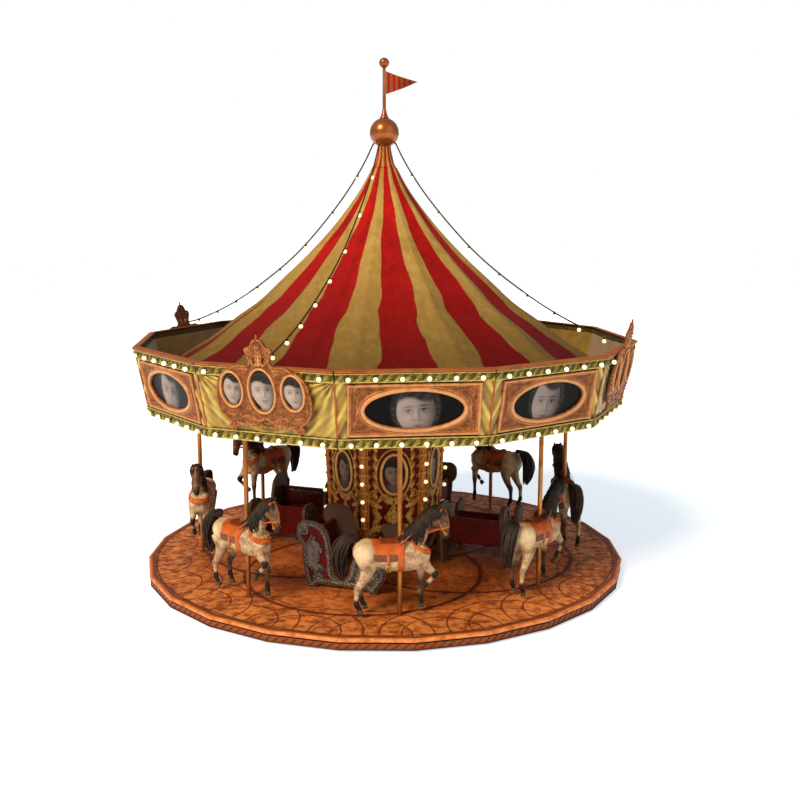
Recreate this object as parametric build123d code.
from build123d import *
import math
import os

# A fairground merry-go-round: a turning deck and roof on a fixed centre mast, with eight rising
# horses, four chariots and a twelve-sided rim. Millimetres. +Z is up, the origin is on the axis
# at ground level. Azimuth 0 faces -Y and grows towards +X; pieces are built there and turned.

# ---- driving dimensions ----
DECK_R = 3600
DECK_TOP = 180
DECK_T = 30
DECK_SIDES = 24
DECK_HOLE_R = 640
RIM_SIDES = 12
RIM_PHASE = -8.4
RIM_TOP_Z = DECK_TOP + 0.909 * DECK_R
RIM_BOTTOM_Z = DECK_TOP + 0.649 * DECK_R
RIM_TOP_R = 1.016 * DECK_R
RIM_BOTTOM_R = 0.966 * DECK_R
PANEL_T = 40
TOP_BAND = 125
BOTTOM_BAND = 135
BAND_T = 50
CREST_AZ = -23.4
CREST_STEP = 90
HORSES = 8
HORSE_PHASE = 4.6
HORSE_R = 0.777 * DECK_R
STROKE = 200
MID_HOOF = 150
HOOF_HEIGHTS = [72, 72, 108, 144, 180, 198, 108, 72]
POLE_R = 31
POLE_BORE_R = 21
GUIDE_R = 20.7
CHARIOT_AZ = -20
CHARIOTS = 4
CASING_AZ = -20
CASING_SIDES = 6
CASING_LOW_R = 0.235 * DECK_R
CASING_HIGH_R = 0.265 * DECK_R
CASING_TOP_Z = 2540
MAST_R = 100
MAST_TOP_Z = 3000
RACE_R = 125
HUB_GAP = 0.5
BEAM_LOW_Z = 2860
BEAM_HIGH_Z = 2940
RING_BEAM_H = 60
CRANK_Z = 2660
CRANK_THROW = STROKE / 2
ROLLER_R = 90
TRACK_R = 600
BALL_Z = DECK_TOP + 1.736 * DECK_R
BALL_R = 210
SMALL_BALL_Z = DECK_TOP + 2.006 * DECK_R
SMALL_BALL_R = 73
CABLE_D = 20
BULB_R = 34

LEAN = math.atan2(
    (RIM_TOP_R - RIM_BOTTOM_R) * math.cos(math.pi / RIM_SIDES), RIM_TOP_Z - RIM_BOTTOM_Z
)
LEAN_COS = math.cos(LEAN)
PANEL_LENGTH = (RIM_TOP_Z - RIM_BOTTOM_Z) / LEAN_COS
RIM_FACE_R = RIM_BOTTOM_R * math.cos(math.pi / RIM_SIDES)
SIDE_AZIMUTHS = [RIM_PHASE + 15 + 30 * k for k in range(RIM_SIDES)]
CREST_AZIMUTHS = [CREST_AZ + CREST_STEP * k for k in range(4)]
OVAL_AZIMUTHS = [
    a for a in SIDE_AZIMUTHS if min(abs((a - c + 180) % 360 - 180) for c in CREST_AZIMUTHS) > 1
]
HORSE_AZIMUTHS = [HORSE_PHASE + 360 / HORSES * k for k in range(HORSES)]


# ---- helpers ----
def around(shape, azimuths):
    """Copies of a shape built at azimuth 0, turned to each azimuth."""
    return [Rot(0, 0, a) * shape for a in azimuths]


def at_azimuth(radius, azimuth, z):
    a = math.radians(azimuth)
    return Vector(radius * math.sin(a), -radius * math.cos(a), z)


def upright_cylinder(radius, height):
    return Cylinder(radius, height, align=(Align.CENTER, Align.CENTER, Align.MIN))


def upright_cone(low_radius, high_radius, height):
    return Cone(low_radius, high_radius, height, align=(Align.CENTER, Align.CENTER, Align.MIN))


def ring(inner, outer, low, high):
    """A plain ring about the axis."""
    body = upright_cylinder(outer, high - low) - upright_cylinder(inner, high - low)
    return Pos(0, 0, low) * body


def radial_bar(near, far, width, low, high):
    """A square bar along the radius at azimuth 0."""
    return Pos(0, -(near + far) / 2, (low + high) / 2) * Box(width, far - near, high - low)


def prism(points, width):
    """A section given as (radius, z) points, drawn out to both sides of azimuth 0."""
    corners = [(0, -radius, z) for radius, z in points]
    section = make_face(Polyline(*corners, close=True))
    return extrude(section, amount=width / 2, dir=(1, 0, 0), both=True)


def wedge(sides, gap, low, high):
    """One side's share of a polygon about the axis, kept a gap clear of its neighbours."""
    half = math.pi / sides
    reach = 1.4 * DECK_R
    apex = gap / math.sin(half)
    x = reach * math.sin(half)
    y = apex + reach * math.cos(half)
    face = make_face(Polyline((0, -apex), (x, -y), (-x, -y), close=True))
    return Pos(0, 0, low) * extrude(face, amount=high - low)


def mitred(points, sides, gap=0.5):
    """A section carried along one side of a polygon, with mitred ends."""
    low = min(z for _, z in points) - 10
    high = max(z for _, z in points) + 10
    widest = max(radius for radius, _ in points)
    return prism(points, 2.4 * widest * math.tan(math.pi / sides)) & wedge(sides, gap, low, high)


def panel_point(out, up):
    """(radius, z) of a point out from the rim face and up the leaning panel."""
    radius = RIM_FACE_R + up * math.sin(LEAN) + out * LEAN_COS
    z = RIM_BOTTOM_Z + up * LEAN_COS - out * math.sin(LEAN)
    return radius, z


def panel_plane(out, up):
    """The rim panel's own plane: x across, y up the panel, z outwards."""
    radius, z = panel_point(out, up)
    normal = (0, -LEAN_COS, -math.sin(LEAN))
    return Plane(origin=(0, -radius, z), x_dir=(1, 0, 0), z_dir=normal)


def strip(out_low, out_high, up_low, up_high):
    """A mitred board on the rim, from one height to another up the panel."""
    corners = [(out_low, up_low), (out_high, up_low), (out_high, up_high), (out_low, up_high)]
    return mitred([panel_point(out, up) for out, up in corners], RIM_SIDES)


def outline(start, steps):
    """A closed face: each step is an end point, or a middle point and an end point of an arc."""
    edges = []
    here = start
    for step in steps:
        if len(step) == 1:
            edges.append(Line(here, step[0]))
        else:
            edges.append(ThreePointArc(here, step[0], step[1]))
        here = step[-1]
    return make_face(edges)


def mirrored_outline(start, steps):
    """A face that is the same on both sides of x = 0, from its right-hand half."""
    right = outline(start, steps + [(start,)])
    return right + mirror(right, about=Plane.YZ)


def tapered(sections):
    """A limb through round sections, each (x, y, z, radius), joined by straight tapers."""
    limb = None
    for (x0, y0, z0, r0), (x1, y1, z1, r1) in zip(sections, sections[1:]):
        way = Vector(x1 - x0, y1 - y0, z1 - z0)
        plane = Plane(origin=(x0, y0, z0), z_dir=way)
        piece = loft([plane * Circle(r0), plane.offset(way.length) * Circle(r1)])
        piece = piece + Pos(x1, y1, z1) * Sphere(r1)
        limb = piece if limb is None else limb + piece
    return limb


def write(node, shapes):
    solids = [solid for shape in shapes for solid in shape.solids()]
    export_step(Compound(solids), f"parts/{node}.step")


# ---- fixed base ----
BOLT_CIRCLE_R = 500
BOLT_HOLE_R = 13
BOLTS = 8


def base_plate():
    plate = ring(60, 560, 0, 30)
    hole = Pos(0, -BOLT_CIRCLE_R, 15) * Cylinder(BOLT_HOLE_R, 40)
    for piece in around(hole, [22.5 + 360 / BOLTS * k for k in range(BOLTS)]):
        plate -= piece
    return [plate, *around(radial_bar(MAST_R, 260, 16, 30, 240), [45 * k for k in range(8)])]


def ground_sleepers():
    return around(radial_bar(565, 2700, 90, 20, 70), [45 * k for k in range(8)])


def levelling_feet():
    feet = []
    for radius in (700, 1650, 2600):
        foot = Pos(0, -radius, 10) * Cylinder(60, 20)
        feet += around(foot, [45 * k for k in range(8)])
    return feet


def centre_mast():
    return [ring(80, MAST_R, 30, MAST_TOP_Z)]


LOW_RACE_Z = 620
HIGH_RACE_Z = 2820


def mast_bearings():
    races = []
    for low in (LOW_RACE_Z, HIGH_RACE_Z):
        race = ring(MAST_R, RACE_R, low, low + 120) + ring(MAST_R, 150, low - 20, low)
        races.append(race)
    return races


# The ring gear and its pinion: simple straight-flanked spur teeth with backlash.
MODULE = 10
RING_TEETH = 72
PINION_TEETH = 18
PINION_X = MODULE * (RING_TEETH + PINION_TEETH) / 2
GEAR_LOW_Z = 560
GEAR_HIGH_Z = 600


def gear(teeth, bore, phase):
    """A spur gear about the origin, a tooth centred on azimuth phase (degrees)."""
    pitch_r = MODULE * teeth / 2
    root_r = pitch_r - 1.1 * MODULE
    tip_r = pitch_r + 0.75 * MODULE
    root_half = 0.72 * MODULE
    tip_half = 0.34 * MODULE
    height = GEAR_HIGH_Z - GEAR_LOW_Z
    tooth = make_face(
        Polyline(
            (-root_half, -root_r + 3),
            (root_half, -root_r + 3),
            (tip_half, -tip_r),
            (-tip_half, -tip_r),
            close=True,
        )
    )
    blank = Circle(root_r)
    for k in range(teeth):
        blank += Rot(0, 0, phase + 360 / teeth * k) * tooth
    blank -= Circle(bore)
    return Pos(0, 0, GEAR_LOW_Z) * extrude(blank, amount=height)


def ring_gear():
    return [gear(RING_TEETH, 250, 90)]


def drive_pinion():
    pinion = gear(PINION_TEETH, 20, -90 + 180 / PINION_TEETH)
    shaft = Pos(0, 0, 520) * upright_cylinder(20, 90)
    return [Pos(PINION_X, 0, 0) * pinion, Pos(PINION_X, 0, 0) * shaft]


def drive_unit():
    """The motor, flange-mounted under its reduction gearbox, on a bracket from the base plate."""
    gearbox = Pos(PINION_X, 0, 445) * Box(200, 200, 130)
    gearbox -= Pos(PINION_X, 0, 500) * Cylinder(20.06, 200)
    motor = Pos(PINION_X, 0, 250) * Cylinder(85, 260)
    foot = Pos(PINION_X, 0, 75) * Box(160, 190, 90)
    return [gearbox, motor, foot]


def crank_track():
    """The fixed overhead track that the crank rollers run on, held by four arms on the mast."""
    top = CRANK_Z - ROLLER_R - HUB_GAP
    arm = radial_bar(MAST_R, TRACK_R - 45, 60, top - 30, top - 4)
    arms = around(arm, [45 + 90 * k for k in range(4)])
    return [ring(TRACK_R - 45, TRACK_R + 45, top - 30, top), *arms]


# ---- turntable: hubs, roof frame and casing ----
def casing_radius(z):
    share = (z - DECK_TOP) / (CASING_TOP_Z - DECK_TOP)
    return CASING_LOW_R + share * (CASING_HIGH_R - CASING_LOW_R)


CORNERS = [CASING_AZ + 60 * k for k in range(CASING_SIDES)]


def lower_hub():
    hub = ring(RACE_R + HUB_GAP, 170, LOW_RACE_Z + HUB_GAP, LOW_RACE_Z + 160)
    flange = ring(170, 345, GEAR_HIGH_Z + 25, GEAR_HIGH_Z + 45)
    spacer = ring(255, 330, GEAR_HIGH_Z, GEAR_HIGH_Z + 25)
    reach = casing_radius(GEAR_HIGH_Z) - 92
    arms = around(radial_bar(172, reach, 70, GEAR_HIGH_Z + 45, GEAR_HIGH_Z + 115), CORNERS)
    return [hub + flange, spacer, *arms]


def roof_hub():
    sleeve = ring(RACE_R + HUB_GAP, 170, HIGH_RACE_Z + HUB_GAP, MAST_TOP_Z + 20)
    cap = Pos(0, 0, MAST_TOP_Z + 20) * upright_cylinder(400, 20)
    post_low = MAST_TOP_Z + 40
    post = Pos(0, 0, post_low) * upright_cylinder(60, BALL_Z - BALL_R - post_low - 40)
    return [sleeve + cap, post]


def ring_beam(inner, outer):
    """A twelve-sided ring beam under the sweeps."""
    low = BEAM_LOW_Z - RING_BEAM_H
    corners = [(inner, low), (outer, low), (outer, BEAM_LOW_Z), (inner, BEAM_LOW_Z)]
    return around(mitred(corners, RIM_SIDES), SIDE_AZIMUTHS)


def roof_frame():
    sweep_azimuths = [RIM_PHASE + 30 * k for k in range(RIM_SIDES)]
    sweeps = around(radial_bar(335, 3480, 90, BEAM_LOW_Z, BEAM_HIGH_Z), sweep_azimuths)
    root = around(radial_bar(172, 334, 60, BEAM_LOW_Z, BEAM_HIGH_Z), sweep_azimuths)
    rings = ring_beam(860, 940) + ring_beam(1010, 1090) + ring_beam(2470, 2550) + ring_beam(3250, 3330)
    return sweeps + root + rings


HANGER_RADII = (1050, 2510)
SHAFT_R = 25


def crank_hangers():
    """Bearing brackets that hang from the ring beams and carry the crankshafts."""
    low = CRANK_Z - 60
    hangers = []
    for radius in HANGER_RADII:
        hanger = radial_bar(radius - 25, radius + 25, 110, low, BEAM_LOW_Z - RING_BEAM_H - 1)
        bore = Pos(0, -radius, CRANK_Z) * Rot(90, 0, 0) * Cylinder(SHAFT_R + 0.06, 60)
        hangers += around(hanger - bore, HORSE_AZIMUTHS)
    return hangers


def crank(index):
    """A crankshaft with its roller at the mast end and its throw at the pole end."""
    lift = HOOF_HEIGHTS[index] - MID_HOOF
    side = math.sqrt(CRANK_THROW**2 - lift**2)
    shaft = Pos(0, -(540 + 2650) / 2, CRANK_Z) * Rot(90, 0, 0) * Cylinder(SHAFT_R, 2650 - 540)
    roller = Pos(0, -TRACK_R, CRANK_Z) * Rot(90, 0, 0) * Cylinder(ROLLER_R, 50)
    turn = math.degrees(math.atan2(lift, side))
    web = Pos(0, -2665, CRANK_Z) * Rot(0, -turn, 0) * Pos(CRANK_THROW / 2, 0, 0)
    arm = web * Box(CRANK_THROW + 70, 30, 70)
    pin = Pos(side, -2714, CRANK_Z + lift) * Rot(90, 0, 0) * Cylinder(20, 68)
    shape = shaft + roller + arm + pin
    return [Rot(0, 0, HORSE_AZIMUTHS[index]) * shape]


def casing_posts():
    low = DECK_TOP
    high = BEAM_LOW_Z - RING_BEAM_H
    points = [
        (casing_radius(low) - 90, low),
        (casing_radius(low), low),
        (casing_radius(high), high),
        (casing_radius(high) - 90, high),
    ]
    return around(prism(points, 90), CORNERS)


def casing_panels():
    flat = math.cos(math.pi / CASING_SIDES)
    near = casing_radius(DECK_TOP) * flat
    far = casing_radius(CASING_TOP_Z) * flat
    points = [
        (near - 60, DECK_TOP),
        (near - 20, DECK_TOP),
        (far - 20, CASING_TOP_Z),
        (far - 60, CASING_TOP_Z),
    ]
    panel = mitred(points, CASING_SIDES, gap=48)
    return around(panel, [a + 30 for a in CORNERS])


def casing_plane(z, out):
    """A casing face's own plane at a height: x across, y up, z outwards."""
    flat = math.cos(math.pi / CASING_SIDES)
    rise = CASING_TOP_Z - DECK_TOP
    lean = math.atan2((CASING_HIGH_R - CASING_LOW_R) * flat, rise)
    radius = casing_radius(z) * flat - 20 + out
    normal = (0, -math.cos(lean), -math.sin(lean))
    return Plane(origin=(0, -radius, z), x_dir=(1, 0, 0), z_dir=normal)


def casing_ovals():
    """The upright oval frames on the casing panels, each with its backing disc."""
    frame = extrude(Ellipse(215, 330) - Ellipse(165, 270), amount=35)
    disc = extrude(Ellipse(164.5, 269.5), amount=10)
    plane = casing_plane(DECK_TOP + 1350, 0.5)
    azimuths = [a + 30 for a in CORNERS]
    return around(plane * frame, azimuths) + around(plane * disc, azimuths)


# ---- deck ----
def deck_frame():
    inner = [(DECK_HOLE_R, 90), (720, 90), (720, 150), (DECK_HOLE_R, 150)]
    outer = [(2760, 95), (2830, 95), (2830, 150), (2760, 150)]
    beams = around(mitred(inner, RIM_SIDES), SIDE_AZIMUTHS)
    beams += around(mitred(outer, RIM_SIDES), SIDE_AZIMUTHS)
    azimuths = [RIM_PHASE + 30 * k for k in range(RIM_SIDES)]
    for first, last in ((770, 2835), (2945, 3440)):
        beams += around(radial_bar(first, last, 70, 90, 150), azimuths)
    return beams


DECK_EDGE = DECK_R - 105
DECK_SIDE_AZIMUTHS = [RIM_PHASE + 7.5 + 15 * k for k in range(DECK_SIDES)]


def deck_boards():
    low = DECK_TOP - DECK_T
    inner = 660
    flat = math.cos(math.pi / DECK_SIDES)
    edge = DECK_EDGE * flat
    corners = [(inner, low), (edge, low), (edge, DECK_TOP), (inner, DECK_TOP)]
    board = mitred(corners, DECK_SIDES, gap=0)
    return around(board, DECK_SIDE_AZIMUTHS)


def deck_rim():
    """The edge moulding: a rounded lip over a groove and a carved band."""
    flat = math.cos(math.pi / DECK_SIDES)
    inner = DECK_EDGE * flat
    lip = DECK_R * flat
    edges = [
        ((lip - 28, DECK_TOP),),
        ((lip, DECK_TOP - 27), (lip - 28, DECK_TOP - 54)),
        ((lip - 50, DECK_TOP - 54),),
        ((lip - 50, DECK_TOP - 68),),
        ((lip - 30, DECK_TOP - 74),),
        ((lip - 30, 44),),
        ((lip - 14, 36),),
        ((lip - 14, 25),),
        ((inner, 25),),
        ((inner, DECK_TOP),),
    ]
    flat_face = outline((inner, DECK_TOP), edges)
    section = Plane(origin=(0, 0, 0), x_dir=(0, -1, 0), z_dir=(-1, 0, 0)) * flat_face
    width = 2.4 * DECK_R * math.tan(math.pi / DECK_SIDES)
    bar = extrude(section, amount=width / 2, dir=(1, 0, 0), both=True)
    return around(bar & wedge(DECK_SIDES, 0, 0, DECK_TOP + 20), DECK_SIDE_AZIMUTHS)


# ---- rim ----
def rim_panels():
    return around(strip(-PANEL_T, 0, 0, PANEL_LENGTH), SIDE_AZIMUTHS)


def rim_mouldings():
    """The top and bottom bands, the lip above them and the band behind the rim's top edge."""
    pieces = [
        strip(0, BAND_T, PANEL_LENGTH - TOP_BAND, PANEL_LENGTH),
        strip(0, BAND_T, 0, BOTTOM_BAND),
        strip(-PANEL_T - 20, BAND_T, PANEL_LENGTH, PANEL_LENGTH + 25),
        strip(-PANEL_T - 25, -PANEL_T, PANEL_LENGTH - TOP_BAND, PANEL_LENGTH),
        strip(-PANEL_T - 25, -PANEL_T, 0, 60),
    ]
    return [solid for piece in pieces for solid in around(piece, SIDE_AZIMUTHS)]


PICTURE_MID = BOTTOM_BAND + (PANEL_LENGTH - TOP_BAND - BOTTOM_BAND) / 2


def panel_frames():
    """The carved rectangular frames with a horizontal oval opening."""
    board = Rectangle(1600, 660) - Ellipse(590, 232)
    rail = Rectangle(1600, 660) - Rectangle(1500, 560)
    lip = Ellipse(640, 282) - Ellipse(590, 232)
    frame = extrude(board, amount=30) + extrude(rail, amount=45) + extrude(lip, amount=45)
    return around(panel_plane(0.5, PICTURE_MID) * frame, OVAL_AZIMUTHS)


CREST_OUT = BAND_T + 2
CREST_T = 50
CABLE_EYE_UP = 1047
CABLE_EYE_L = 47
CREST_MID = 600
CREST_OVALS = [(0, 190, 285), (-420, 160, 230), (420, 160, 230)]
CREST_OVAL_UP = 90


def portraits():
    """The painted oval discs behind the frames and the crest boards."""
    wide = panel_plane(0.5, PICTURE_MID) * extrude(Ellipse(589, 231), amount=8)
    discs = around(wide, OVAL_AZIMUTHS)
    for x, half_width, half_height in CREST_OVALS:
        oval = Pos(x, CREST_OVAL_UP, 0) * Ellipse(half_width - 0.5, half_height - 0.5)
        disc = panel_plane(CREST_OUT, CREST_MID) * extrude(oval, amount=12)
        discs += around(disc, CREST_AZIMUTHS)
    return discs


def crest_outline():
    """The cartouche: a wide shield, a pierced crown on top and scrolls at its feet."""
    steps = [
        ((380, -385),),
        ((420, -440), (490, -430)),
        ((530, -390), (500, -330)),
        ((560, -290),),
        ((650, -80), (640, 100)),
        ((590, 260), (430, 350)),
        ((300, 400), (165, 410)),
        ((140, 470), (170, 530)),
        ((185, 600), (110, 640)),
        ((80, 720), (0, 740)),
    ]
    return mirrored_outline((0, -385), steps)


def crest_boards():
    board = crest_outline()
    for x, half_width, half_height in CREST_OVALS:
        board -= Pos(x, CREST_OVAL_UP, 0) * Ellipse(half_width, half_height)
    shape = panel_plane(CREST_OUT, CREST_MID) * extrude(board, amount=CREST_T)
    eye = panel_plane(CREST_OUT - 0.5, CABLE_EYE_UP) * extrude(Circle(30), amount=-CABLE_EYE_L)
    block = panel_plane(CREST_OUT / 2, 480) * Box(500, 580, CREST_OUT - 2)
    return [piece for item in (shape, eye, block) for piece in around(item, CREST_AZIMUTHS)]


# ---- canopy, finial and flag ----
CANOPY = [(0.92, 0.775), (0.72, 0.905), (0.52, 1.05), (0.318, 1.24), (0.132, 1.461), (0.05, 1.6)]
CANOPY_T = 14


def canopy():
    """Twelve gores, each in flat lengths between battens, from the eave to the collar."""
    points = [(radius * DECK_R * 0.985, DECK_TOP + z * DECK_R) for radius, z in CANOPY]
    inner = []
    for index, (radius, z) in enumerate(points):
        before = points[max(index - 1, 0)]
        after = points[min(index + 1, len(points) - 1)]
        slope = math.atan2(after[1] - before[1], before[0] - after[0])
        inner.append((radius - CANOPY_T * math.sin(slope), z - CANOPY_T * math.cos(slope)))
    gores = []
    for index in range(len(points) - 1):
        corners = [points[index], points[index + 1], inner[index + 1], inner[index]]
        gores += around(mitred(corners, RIM_SIDES, gap=0), SIDE_AZIMUTHS)
    return gores


def cable_lug():
    """Where a festoon cable leaves the ball."""
    start = Vector(0, -CABLE_ROUTE[0][0], CABLE_ROUTE[0][1])
    after = Vector(0, -CABLE_ROUTE[1][0], CABLE_ROUTE[1][1])
    return Plane(origin=start, z_dir=start - after) * extrude(Circle(17), amount=45)


def finial():
    """The ball, its neck collar and the flagpole with its small ball."""
    ball = Pos(0, 0, BALL_Z) * Sphere(BALL_R)
    for lug in around(cable_lug(), CREST_AZIMUTHS):
        ball += lug
    top = DECK_TOP + 1.6 * DECK_R
    neck = ring(61, 100, top - 20, BALL_Z - BALL_R + 20) - Pos(0, 0, BALL_Z) * Sphere(BALL_R + 0.01)
    foot_low = BALL_Z + BALL_R - 8
    foot = Pos(0, 0, foot_low) * upright_cone(60, 24, 120)
    pole_top = SMALL_BALL_Z - SMALL_BALL_R + 6
    pole = Pos(0, 0, foot_low) * upright_cylinder(24, pole_top - foot_low)
    staff = (foot + pole) - Pos(0, 0, BALL_Z) * Sphere(BALL_R)
    knob = Pos(0, 0, SMALL_BALL_Z) * Sphere(SMALL_BALL_R)
    return [ball - Pos(0, 0, BALL_Z - BALL_R) * Cylinder(61, 90), neck, staff + knob]


PENNANT_TOP = DECK_TOP + 1.974 * DECK_R
PENNANT_H = 0.088 * DECK_R
PENNANT_L = 0.128 * DECK_R


def pennant():
    """A triangular flag streaming from the flagpole towards +X."""
    mid = PENNANT_TOP - PENNANT_H / 2
    points = [(25, 0, PENNANT_TOP), (25 + PENNANT_L, 0, mid), (25, 0, PENNANT_TOP - PENNANT_H)]
    face = make_face(Polyline(*points, close=True))
    return [extrude(face, amount=6, dir=(0, 1, 0), both=True)]


# ---- lamps and festoon cables ----
# The route of a festoon cable as (radius, z): down from the ball and out to a crest board.
CABLE_ROUTE = [
    (181, 6270),
    (290, 6068),
    (432, 5842),
    (590, 5622),
    (764, 5408),
    (950, 5198),
    (1147, 4990),
    (1350, 4790),
    (1562, 4606),
    (1782, 4437),
    (2008, 4278),
    (2240, 4124),
    (2478, 3980),
    (2722, 3848),
    (2972, 3733),
    (3200, 3640),
    (3385, 3577),
    (3551, 3545.8),
]
FESTOON_RADII = [434, 852, 1318, 1777, 2193, 2588, 2945, 3300]


def cable_corner_radii():
    """Each arc's radius: 0.45 of its shorter run over the tangent of half its turn."""
    radii = []
    for before, here, after in zip(CABLE_ROUTE, CABLE_ROUTE[1:], CABLE_ROUTE[2:]):
        first = Vector(0, here[0] - before[0], here[1] - before[1])
        second = Vector(0, after[0] - here[0], after[1] - here[1])
        turn = math.radians(first.get_angle(second))
        radii.append(0.45 * min(first.length, second.length) / math.tan(turn / 2))
    return radii


def festoon_cable(azimuth):
    points = [(0, -radius, z) for radius, z in CABLE_ROUTE]
    path = FilletPolyline(*points, radius=cable_corner_radii())
    start = Plane(origin=path @ 0, z_dir=path % 0)
    tube = sweep(start * Circle(CABLE_D / 2), path=path)
    return [Rot(0, 0, azimuth) * tube]


def cable_z(radius):
    for (r0, z0), (r1, z1) in zip(CABLE_ROUTE, CABLE_ROUTE[1:]):
        if r0 <= radius <= r1:
            return z0 + (z1 - z0) * (radius - r0) / (r1 - r0)
    raise ValueError(radius)


def festoon_bulbs():
    """A clip-on lampholder and bulb at each place along the four cables."""
    lamps = []
    for radius in FESTOON_RADII:
        z = cable_z(radius)
        holder = Pos(0, -radius, z - 12) * Cylinder(15, 36)
        lamp = Pos(0, -radius, z - 56) * Sphere(30) - Pos(0, -radius, z - 12) * Cylinder(15, 36)
        lamps += around(holder, CREST_AZIMUTHS) + around(lamp, CREST_AZIMUTHS)
    return lamps


def bulb(plane):
    """A round lamp seated on a surface, with a short cap."""
    cap = Pos(0, 0, 8.5) * Cylinder(20, 16)
    return plane * (cap + Pos(0, 0, BULB_R + 4) * Sphere(BULB_R))


def lamp_bulbs():
    """Six lamps on each band of each rim side, and five down each casing post."""
    lamps = []
    for up, half in (
        (PANEL_LENGTH - TOP_BAND / 2, RIM_TOP_R * math.sin(math.pi / RIM_SIDES)),
        (BOTTOM_BAND / 2, RIM_BOTTOM_R * math.sin(math.pi / RIM_SIDES)),
    ):
        for index in range(6):
            x = half * (2 * index - 5) / 6
            behind_crest = up > PANEL_LENGTH / 2 and abs(x) < 700
            azimuths = OVAL_AZIMUTHS if behind_crest else SIDE_AZIMUTHS
            lamps += around(bulb(panel_plane(BAND_T, up) * Pos(x, 0, 0)), azimuths)
    for index in range(5):
        z = DECK_TOP + 690 + 270 * index
        lean = math.atan2(CASING_HIGH_R - CASING_LOW_R, CASING_TOP_Z - DECK_TOP)
        normal = (0, -math.cos(lean), -math.sin(lean))
        plane = Plane(origin=(0, -casing_radius(z), z), x_dir=(1, 0, 0), z_dir=normal)
        lamps += around(bulb(plane), CORNERS)
    return lamps


# ---- chariots ----
CHARIOT_OUT_R = 0.556 * DECK_R
CHARIOT_IN_R = 0.283 * DECK_R
CHARIOT_SIDE_T = 55
CHARIOT_BACK_X = -383


def chariot_side_face():
    """A chariot side: a tall scrolled rear, a deep notch to step through and a curled prow."""
    steps = [
        ((-45, 150), (-70, 330)),
        ((-85, 480), (-90, 600)),
        ((-160, 700), (-165, 790)),
        ((-130, 900), (0, 935)),
        ((200, 890), (315, 700)),
        ((350, 500), (362, 300)),
        ((400, 190), (480, 150)),
        ((560, 190), (620, 330)),
        ((660, 440), (710, 560)),
        ((790, 710), (900, 710)),
        ((1070, 700), (1085, 530)),
        ((1085, 460), (1075, 410)),
        ((1140, 300), (1070, 150)),
        ((1050, 110), (1010, 70)),
        ((1010, 0),),
        ((900, 0),),
        ((880, 50), (820, 60)),
        ((190, 60),),
        ((130, 50), (110, 0)),
        ((0, 0),),
    ]
    return outline((0, 0), steps)


def chariot_sides():
    upright = Plane(origin=(CHARIOT_BACK_X, 0, DECK_TOP), x_dir=(1, 0, 0), z_dir=(0, -1, 0))
    side = extrude(upright * chariot_side_face(), amount=CHARIOT_SIDE_T, dir=(0, 1, 0))
    azimuths = [CHARIOT_AZ + 90 * k for k in range(CHARIOTS)]
    outer = around(Pos(0, -CHARIOT_OUT_R, 0) * side, azimuths)
    inner = around(Pos(0, -CHARIOT_IN_R - CHARIOT_SIDE_T, 0) * side, azimuths)
    return outer + inner


def chariot_seats():
    """The seat board with its apron, the back rail behind it and the leaning front board."""
    near = CHARIOT_IN_R + CHARIOT_SIDE_T
    far = CHARIOT_OUT_R - CHARIOT_SIDE_T
    place = Pos(CHARIOT_BACK_X, -near, DECK_TOP)
    sections = [
        [(20, 335), (310, 335), (310, 250), (340, 250), (340, 385), (20, 385)],
        [(-25, 345), (18, 345), (18, 720), (-45, 720)],
        [(612, 120), (652, 120), (752, 600), (712, 600)],
    ]
    azimuths = [CHARIOT_AZ + 90 * k for k in range(CHARIOTS)]
    boards = []
    for section in sections:
        face = make_face(Polyline(*[(x, 0, z) for x, z in section], close=True))
        boards += around(place * extrude(face, amount=far - near, dir=(0, -1, 0)), azimuths)
    return boards


# ---- horses ----
GUIDE_TOP_Z = DECK_TOP + 540
GUIDE_FOOT_T = 12


def guide_rods():
    rod = Pos(0, -HORSE_R, DECK_TOP) * upright_cylinder(GUIDE_R, GUIDE_TOP_Z - DECK_TOP)
    foot = Pos(0, -HORSE_R, DECK_TOP + GUIDE_FOOT_T / 2) * Cylinder(52, GUIDE_FOOT_T)
    return around(rod + foot, HORSE_AZIMUTHS)


def pole(index):
    """The hollow pole that slides over its guide rod, with the slotted head that its crank lifts."""
    lift = HOOF_HEIGHTS[index] - MID_HOOF
    low = DECK_TOP + GUIDE_FOOT_T + 8 + CRANK_THROW + lift
    high = CRANK_Z + lift + 30
    tube = Pos(0, -HORSE_R, low) * upright_cylinder(POLE_R, high - low)
    tube -= Pos(0, -HORSE_R, low) * upright_cylinder(POLE_BORE_R, 600)
    head_r = HORSE_R - POLE_R - 4
    head = Pos(0, -head_r, CRANK_Z + lift) * Box(290, 24, 84)
    head -= Pos(0, -head_r + 8, CRANK_Z + lift) * Box(244, 20, 44)
    return [Rot(0, 0, HORSE_AZIMUTHS[index]) * (tube + head)]


def horse_torso():
    """Oval sections from rump to chest: (x, middle height, half height, half width)."""
    sections = [
        (-588, 775, 40, 45),
        (-550, 775, 120, 115),
        (-430, 765, 180, 172),
        (-250, 745, 178, 178),
        (-50, 728, 188, 182),
        (130, 732, 205, 178),
        (280, 725, 190, 152),
        (365, 730, 120, 100),
        (392, 735, 45, 45),
    ]
    faces = []
    for x, z, half_height, half_width in sections:
        plane = Plane(origin=(x, 0, z), x_dir=(0, 1, 0), z_dir=(1, 0, 0))
        faces.append(plane * Ellipse(half_width, half_height))
    return loft(faces)


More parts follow.
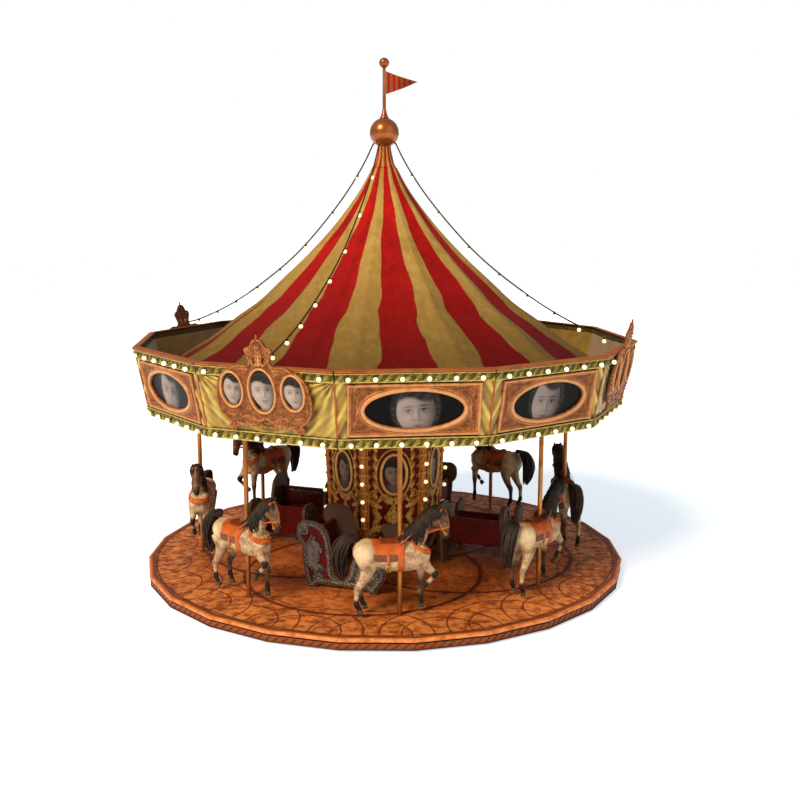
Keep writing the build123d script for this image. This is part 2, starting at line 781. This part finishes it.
def horse_neck_and_head():
    neck = [(215, 0, 850, 150), (300, 0, 985, 122), (390, 0, 1120, 98), (460, 0, 1225, 78)]
    head = [(455, 0, 1225, 92), (520, 0, 1140, 84), (560, 0, 1030, 58), (560, 0, 960, 50)]
    ear = [(470, 45, 1290, 24), (500, 55, 1372, 7)]
    other_ear = [(x, -y, z, radius) for x, y, z, radius in ear]
    return tapered(neck) + tapered(head) + tapered(ear) + tapered(other_ear)


def horse_legs():
    rear = [
        (-440, -95, 700, 112),
        (-395, -100, 590, 92),
        (-465, -100, 430, 58),
        (-545, -98, 325, 42),
        (-560, -98, 120, 28),
        (-520, -98, 55, 36),
    ]
    rear_far = [
        (-440, 95, 700, 112),
        (-380, 100, 590, 92),
        (-430, 100, 430, 58),
        (-500, 98, 325, 42),
        (-500, 98, 120, 28),
        (-455, 98, 55, 36),
    ]
    front = [
        (185, 85, 640, 92),
        (175, 90, 480, 58),
        (215, 90, 290, 36),
        (240, 90, 120, 27),
        (270, 90, 55, 34),
    ]
    raised = [
        (215, -85, 640, 88),
        (320, -90, 530, 56),
        (440, -90, 505, 40),
        (345, -90, 375, 27),
        (300, -90, 340, 34),
    ]
    legs = tapered(rear) + tapered(rear_far) + tapered(front) + tapered(raised)
    hoof = upright_cone(50, 36, 60)
    for x, y in ((-510, -98), (-445, 98), (280, 90)):
        legs += Pos(x, y, 0) * hoof
    return legs + Pos(268, -90, 300) * Rot(0, 60, 0) * hoof


def horse_tail():
    return tapered(
        [(-570, 0, 900, 45), (-665, 0, 915, 62), (-705, 0, 800, 72), (-700, 0, 640, 68), (-690, 0, 470, 30)]
    )


def horse_figure():
    """A horse heading along +X with its pole hole at the origin and its hooves at z = 0."""
    figure = horse_torso() + horse_neck_and_head() + horse_legs() + horse_tail()
    return figure - Pos(0, 0, 700) * Cylinder(POLE_R, 800)


def horse(index, figure):
    place = Rot(0, 0, HORSE_AZIMUTHS[index]) * Pos(0, -HORSE_R, DECK_TOP + HOOF_HEIGHTS[index])
    return [place * figure]


# ---- every node ----
def main():
    os.makedirs("parts", exist_ok=True)
    for make in (
        base_plate,
        ground_sleepers,
        levelling_feet,
        centre_mast,
        mast_bearings,
        drive_unit,
        drive_pinion,
        crank_track,
        lower_hub,
        ring_gear,
        roof_hub,
        roof_frame,
        crank_hangers,
        casing_posts,
        casing_panels,
        casing_ovals,
        deck_frame,
        deck_boards,
        deck_rim,
        rim_panels,
        rim_mouldings,
        panel_frames,
        portraits,
        crest_boards,
        canopy,
        finial,
        pennant,
        lamp_bulbs,
        festoon_bulbs,
        chariot_sides,
        chariot_seats,
        guide_rods,
    ):
        write(make.__name__, make())
    for index, azimuth in enumerate(CREST_AZIMUTHS):
        write(f"festoon_cable_{index + 1}", festoon_cable(azimuth))
    figure = horse_figure()
    for index in range(HORSES):
        write(f"horse_{index + 1}", horse(index, figure))
        write(f"pole_{index + 1}", pole(index))
        write(f"crank_{index + 1}", crank(index))
    print("cable arc radii", [round(radius) for radius in cable_corner_radii()])


main()
